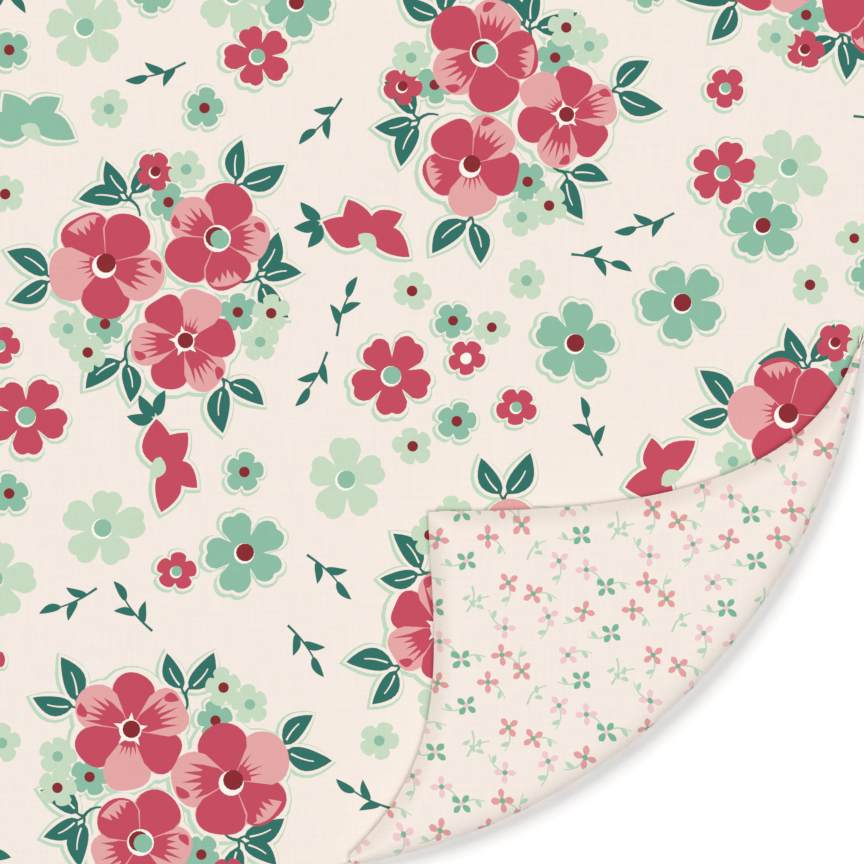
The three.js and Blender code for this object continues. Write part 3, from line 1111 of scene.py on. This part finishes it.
path = last_turn_path()
path = path[np.concatenate([[True], np.hypot(*np.diff(path, axis=0).T) > 1e-6])]
path_length = FOOT + np.concatenate([[0], np.cumsum(np.hypot(*np.diff(path, axis=0).T))])
path_step = np.diff(path, axis=0)
path_heading = np.unwrap(np.arctan2(path_step[:, 1], path_step[:, 0]))
path_middle = (path_length[1:] + path_length[:-1]) / 2
TOP_BACK = path_length[np.argmin(np.hypot(*(path - [BACK_EDGE, run_high[2] - STACK]).T))]
print("last turn is", round(path_length[-1] - FOOT), "mm long")


def wind(points):
    """Carry the flat sheet along the path; its second number is the length along the cloth."""
    y = np.interp(points[:, 1], path_length, path[:, 0])
    z = np.interp(points[:, 1], path_length, path[:, 1])
    heading = np.interp(points[:, 1], path_middle, path_heading)
    normal = np.stack([np.zeros(len(y)), -np.sin(heading), np.cos(heading)], 1)
    return np.stack([points[:, 0], y, z], 1), normal


def bends(start, end):
    """Lines across the cloth wherever the path turns, close enough for a smooth bend."""
    total = np.concatenate([[0], np.cumsum(np.abs(np.diff(path_heading)))])
    marks = np.interp(np.arange(0, total[-1], math.radians(3)), total, path_middle)
    across = np.linspace(LEFT, RIGHT, 25)
    return [np.column_stack([across, np.full(25, s)]) for s in marks if start + 0.5 < s < end - 0.5]


# %% The last turn and the slope
def both_plies(name, start, end):
    """The two plies of a length of cloth along the path, and the size they are cut to."""
    shape = np.array([(LEFT, start), (RIGHT, start), (RIGHT, end), (LEFT, end)], float)
    folds = bends(start, end)
    face = printed(name + "_face", shape, floral(shape[0], shape[2]), wind, 1, face_cotton, folds)
    back = printed(name + "_back", shape, ditsy_sheet(shape[0], shape[2]), wind, -1, back_cotton, folds)
    return face, back, ((RIGHT - LEFT) * MM, (end - start) * MM)


slope_face, slope_back, slope_cut = both_plies("slope", FOOT, TOP_BACK)
under_face, under_back, under_cut = both_plies("under_turn", TOP_BACK, path_length[-1])

# %% [markdown]
# The rest of the cloth is wound on the board in one long spiral, both plies together.
# From the ends of the bolt it shows as a stack of thin edges.
# Cloth never winds perfectly true, so each turn's edges wander a little in or out.
# The plies are real thin strips here, because that stack of edges is what says "bolt".

# %% The wound turns
TURNS = 22
FIRST_OFFSET = 0.75  # from the board to the middle of the first turn
LAST_OFFSET = board_low[2] - 2 * STACK - 0.5
PLY_THICK = 0.38
PLY_APART = 0.22  # from the turn's middle to each ply's middle
CORNER_STEPS = 7


def spiral(turns, first, last):
    """Points round the board's section, each a little further out than the one before."""
    corners = [(board_high[1], board_low[2], -90), (board_high[1], board_high[2], 0)]
    corners += [(board_low[1], board_high[2], 90), (board_low[1], board_low[2], 180)]
    places, outward = [], []
    steps = turns * 4 * CORNER_STEPS
    for i in range(steps):
        y, z, start = corners[(i // CORNER_STEPS) % 4]
        angle = math.radians(start + 90 * (i % CORNER_STEPS) / (CORNER_STEPS - 1))
        offset = first + (last - first) * i / (steps - 1)
        way = np.array([math.cos(angle), math.sin(angle)])
        places.append(np.array([y, z]) + offset * way)
        outward.append(way)
    return np.array(places), np.array(outward)


def wander(count, seed, size=0.9):
    """A slow, uneven drift of the cloth's edge."""
    rule = np.random.default_rng(seed)
    marks = rule.uniform(-size, size, count // 9 + 2)
    return np.interp(np.arange(count) / 9, np.arange(len(marks)), marks)


def wound_ply(name, shift, seed, material):
    places, outward = spiral(TURNS, FIRST_OFFSET, LAST_OFFSET)
    count = len(places)
    inside = places + outward * (shift - PLY_THICK / 2)
    outside = places + outward * (shift + PLY_THICK / 2)
    left, right = LEFT + 1 + wander(count, seed), RIGHT - 1 + wander(count, seed + 1)
    rows = []
    for side, x in ((outside, left), (outside, right), (inside, right), (inside, left)):
        rows.append(np.column_stack([x, side]))
    points = np.stack(rows, 1).reshape(-1, 3)
    faces = []
    for i in range(count - 1):
        for k in range(4):
            a, b = 4 * i + k, 4 * i + (k + 1) % 4
            faces.append((a, a + 4, b + 4, b))
    faces += [(0, 1, 2, 3), tuple(4 * (count - 1) + k for k in (3, 2, 1, 0))]
    piece, mesh = make_piece(name, points, faces, material)
    length = np.concatenate([[0], np.cumsum(np.hypot(*np.diff(places, axis=0).T))])
    give_uv(mesh, np.column_stack([points[:, 0] + points[:, 2], np.repeat(length, 4)]))
    print(name, "is", round(length[-1] * MM, 1), "m long")
    return piece, length[-1] * MM


INKS["face edge"], INKS["back edge"] = (246, 238, 230), (215, 193, 184)
face_edges = cotton("cloth edges, face", "face edge")
back_edges = cotton("cloth edges, back", "back edge")
wound_face, wound_length = wound_ply("wound_face_ply", PLY_APART, 11, face_edges)
wound_back, _ = wound_ply("wound_back_ply", -PLY_APART, 29, back_edges)

# %% [markdown]
# The board is one blank of corrugated card, folded to a flat box with two ribs inside.
# Each panel is made as card is made: two flat liners and a waved flute glued between them.
# The long panels' flutes run along the board, so their waves show where the panels end.

# %% Corrugated card
LINER = 0.42  # the flat paper on either side
FLUTE_PITCH = 6.4  # from one wave to the next
FLUTE_THICK = 0.34
FLUTE_INSET = 0.3  # the waves stop this far inside the card's edges
SOFT_EDGE = 0.12


def kraft():
    material, tree, shader = plain_material("kraft card", 0.82, 0.25)
    link = tree.links.new
    place = node(tree, "ShaderNodeTexCoord")
    fibre = stretched_noise(tree, place.outputs["Object"], (160, 900, 900), Detail=5.0, Roughness=0.65)
    cloud = node(tree, "ShaderNodeTexNoise", Scale=34.0, Detail=3.0)
    link(place.outputs["Object"], cloud.inputs["Vector"])
    colour = node(tree, "ShaderNodeValToRGB")
    dark, light = colour.color_ramp.elements
    dark.position, light.position = 0.32, 0.68
    dark.color, light.color = (*linear((150, 112, 74)), 1), (*linear((194, 156, 112)), 1)
    link(fibre, colour.inputs["Fac"])
    tone = blended(tree, "SOFT_LIGHT", 0.35, colour.outputs["Color"], cloud.outputs["Fac"])
    link(tone.outputs[2], shader.inputs["Base Color"])
    ribs = node(tree, "ShaderNodeTexWave", bands_direction="Y", Scale=wave_scale(FLUTE_PITCH))
    link(place.outputs["Object"], ribs.inputs["Vector"])
    make_bumpy(tree, shader, sum_of(tree, ribs.outputs["Fac"], 0.5, fibre), 0.35, 0.15 * MM)
    return material


card = kraft()


def corrugated(name, thin, across):
    """Card in a model piece's own box: thin is its thickness axis, the flute waves along across."""
    low, high = box_mm(name)
    along = 3 - thin - across
    points, faces = [], []

    def extrude(section):
        first, count = len(points), len(section)
        for end in (low[along], high[along]):
            for u, v in section:
                point = [0, 0, 0]
                point[across], point[thin], point[along] = u, v, end
                points.append(point)
        for i in range(count):
            a, b = first + i, first + (i + 1) % count
            faces.append((a, b, b + count, a + count))
        half = count // 2
        for i in range(half - 1):
            a, b, c, d = i, i + 1, count - 2 - i, count - 1 - i
            faces.append(tuple(first + k for k in (d, c, b, a)))
            faces.append(tuple(first + count + k for k in (a, b, c, d)))

    soft = SOFT_EDGE
    for bottom, top in ((low[thin], low[thin] + LINER), (high[thin] - LINER, high[thin])):
        left, right = low[across], high[across]
        lower = [(left, bottom + soft), (left + soft, bottom)]
        lower += [(right - soft, bottom), (right, bottom + soft)]
        upper = [(right, top - soft), (right - soft, top), (left + soft, top), (left, top - soft)]
        extrude(lower + upper)
    width = high[across] - low[across]
    waves = max(1, round(width / FLUTE_PITCH))
    middle = (low[thin] + high[thin]) / 2
    swing = (high[thin] - low[thin]) / 2 - LINER - FLUTE_THICK / 2
    u = np.linspace(low[across] + FLUTE_INSET, high[across] - FLUTE_INSET, waves * 12 + 1)
    v = middle + swing * np.cos(math.tau * waves * (u - u[0]) / (u[-1] - u[0]))
    lower = list(zip(u, v - FLUTE_THICK / 2))
    upper = list(zip(u, v + FLUTE_THICK / 2))[::-1]
    extrude(lower + upper)
    piece, _ = make_piece(name.replace("board_", "card_"), points, faces, card)
    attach(piece, "bolt")
    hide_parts(name)


X, Y, Z = 0, 1, 2
for panel in ("board_top_panel", "board_bottom_panel"):
    corrugated(panel, Z, Y)
for upright in ("board_front_wall", "board_back_wall", "board_front_rib", "board_back_rib"):
    corrugated(upright, Y, Z)
for flap in ("board_left_end_flap", "board_right_end_flap"):
    corrugated(flap, X, Y)
print("card flutes every", FLUTE_PITCH, "mm")

# %% [markdown]
# The end label is a strip of paper folded over the board's end.
# It is left without words: a mint band and thin rules stand where a maker would print a name,
# and a purchaser's details would be written on the lines.

# %% End label
def paper_label():
    material, tree, shader = plain_material("paper label", 0.6, 0.5)
    link = tree.links.new
    low, high = box_mm("end_label")
    place = node(tree, "ShaderNodeTexCoord")
    split = node(tree, "ShaderNodeSeparateXYZ")
    link(place.outputs["Object"], split.inputs["Vector"])
    share = node(tree, "ShaderNodeMapRange", **{"From Min": low[1] * MM, "From Max": high[1] * MM})
    link(split.outputs["Y"], share.inputs["Value"])
    ramp = node(tree, "ShaderNodeValToRGB")
    ramp.color_ramp.interpolation = "CONSTANT"
    stops = [(0, "paper"), (0.05, "mint"), (0.2, "paper"), (0.23, "mint"), (0.24, "paper")]
    for i in range(4):
        stops += [(0.34 + 0.15 * i, "rule"), (0.346 + 0.15 * i, "paper")]
    stops += [(0.94, "mint"), (0.95, "paper")]
    elements = ramp.color_ramp.elements
    elements.remove(elements[1])
    for i, (position, ink) in enumerate(stops):
        stop = elements[0] if i == 0 else elements.new(position)
        stop.color = (*linear(INKS[ink]), 1)
    link(share.outputs["Result"], ramp.inputs["Fac"])
    grain = node(tree, "ShaderNodeTexNoise", Scale=1400.0, Detail=4.0)
    link(place.outputs["Object"], grain.inputs["Vector"])
    tone = blended(tree, "MULTIPLY", 0.08, ramp.outputs["Color"], grain.outputs["Fac"])
    link(tone.outputs[2], shader.inputs["Base Color"])
    make_bumpy(tree, shader, grain.outputs["Fac"], 0.2, 0.05 * MM)
    return material


label = bpy.data.objects["end_label"]
label_paper = paper_label()
for material_slot in label.material_slots:
    material_slot.material = label_paper
print("label is", [round(v, 1) for v in box_mm("end_label")[1] - box_mm("end_label")[0]], "mm")

# %% [markdown]
# Last, almost every piece is tied to the bolt, and the model pieces it stands for are hidden.
# Almost everything rides with the bolt. The turned corner is left where it is drawn, tied to no body,
# and the model's corner and tip pieces are hidden.

# %% Bodies
for piece, stands_for, slot in [(free_face, "free_end_face_ply", "face_ply"),
                                (free_back, "free_end_back_ply", "back_ply"),
                                (slope_face, "run_off_face_ply", "face_ply"),
                                (slope_back, "run_off_back_ply", "back_ply"),
                                (under_face, "wound_cloth", "face_ply"),
                                (under_back, "wound_cloth", "back_ply"),
                                (wound_face, "wound_cloth", "wound_cloth"),
                                (wound_back, "wound_cloth", "wound_cloth")]:
    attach(piece, "bolt")
    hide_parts(stands_for)

for piece, ply in ((corner_face, "face_ply"), (corner_back, "back_ply")):
    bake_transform(piece)
    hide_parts("turned_corner_" + ply, "corner_tip_" + ply)
